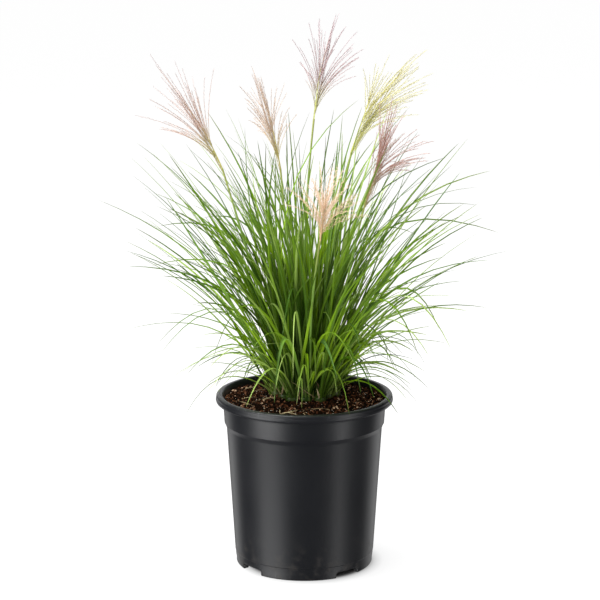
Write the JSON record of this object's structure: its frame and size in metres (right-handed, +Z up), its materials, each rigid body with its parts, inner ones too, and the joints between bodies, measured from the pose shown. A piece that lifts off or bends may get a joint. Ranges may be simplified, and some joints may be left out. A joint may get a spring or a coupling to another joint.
{
  "type": "potted maiden grass",
  "caption": "Clump of narrow arching green grass blades with feathery flower heads on thin stems, growing from potting mix in a round black nursery pot with a rolled rim.",
  "frame": {"origin": "on the pot's axis, on the floor that the pot stands on", "axes": "+Z up along the pot's axis, -Y towards the side that the picture shows, +X to the right in the picture"},
  "size_m": [0.5155, 0.46, 0.71],
  "materials": {
    "black_plastic": "satin",
    "potting_mix": "matte",
    "blade_green": "satin",
    "culm_green": "satin",
    "plume_1_flower": "matte",
    "plume_2_flower": "matte",
    "plume_3_flower": "matte",
    "plume_4_flower": "matte",
    "plume_5_flower": "matte",
    "plume_6_flower": "matte"
  },
  "bodies": {
    "root": {"pot": "black_plastic", "soil": "potting_mix", "culm_1": "culm_green", "culm_2": "culm_green", "culm_3": "culm_green", "culm_4": "culm_green", "culm_5": "culm_green", "culm_6": "culm_green", "plume_1": "plume_1_flower", "plume_2": "plume_2_flower", "plume_3": "plume_3_flower", "plume_4": "plume_4_flower", "plume_5": "plume_5_flower", "plume_6": "plume_6_flower", "tuft_01": "blade_green", "tuft_02": "blade_green", "tuft_03": "blade_green", "tuft_04": "blade_green", "tuft_05": "blade_green", "tuft_06": "blade_green", "tuft_07": "blade_green", "tuft_08": "blade_green", "tuft_09": "blade_green", "tuft_10": "blade_green", "tuft_11": "blade_green", "tuft_12": "blade_green", "tuft_13": "blade_green", "tuft_14": "blade_green", "tuft_15": "blade_green", "tuft_16": "blade_green", "tuft_17": "blade_green", "tuft_18": "blade_green", "tuft_19": "blade_green"}
  },
  "joints": []
}
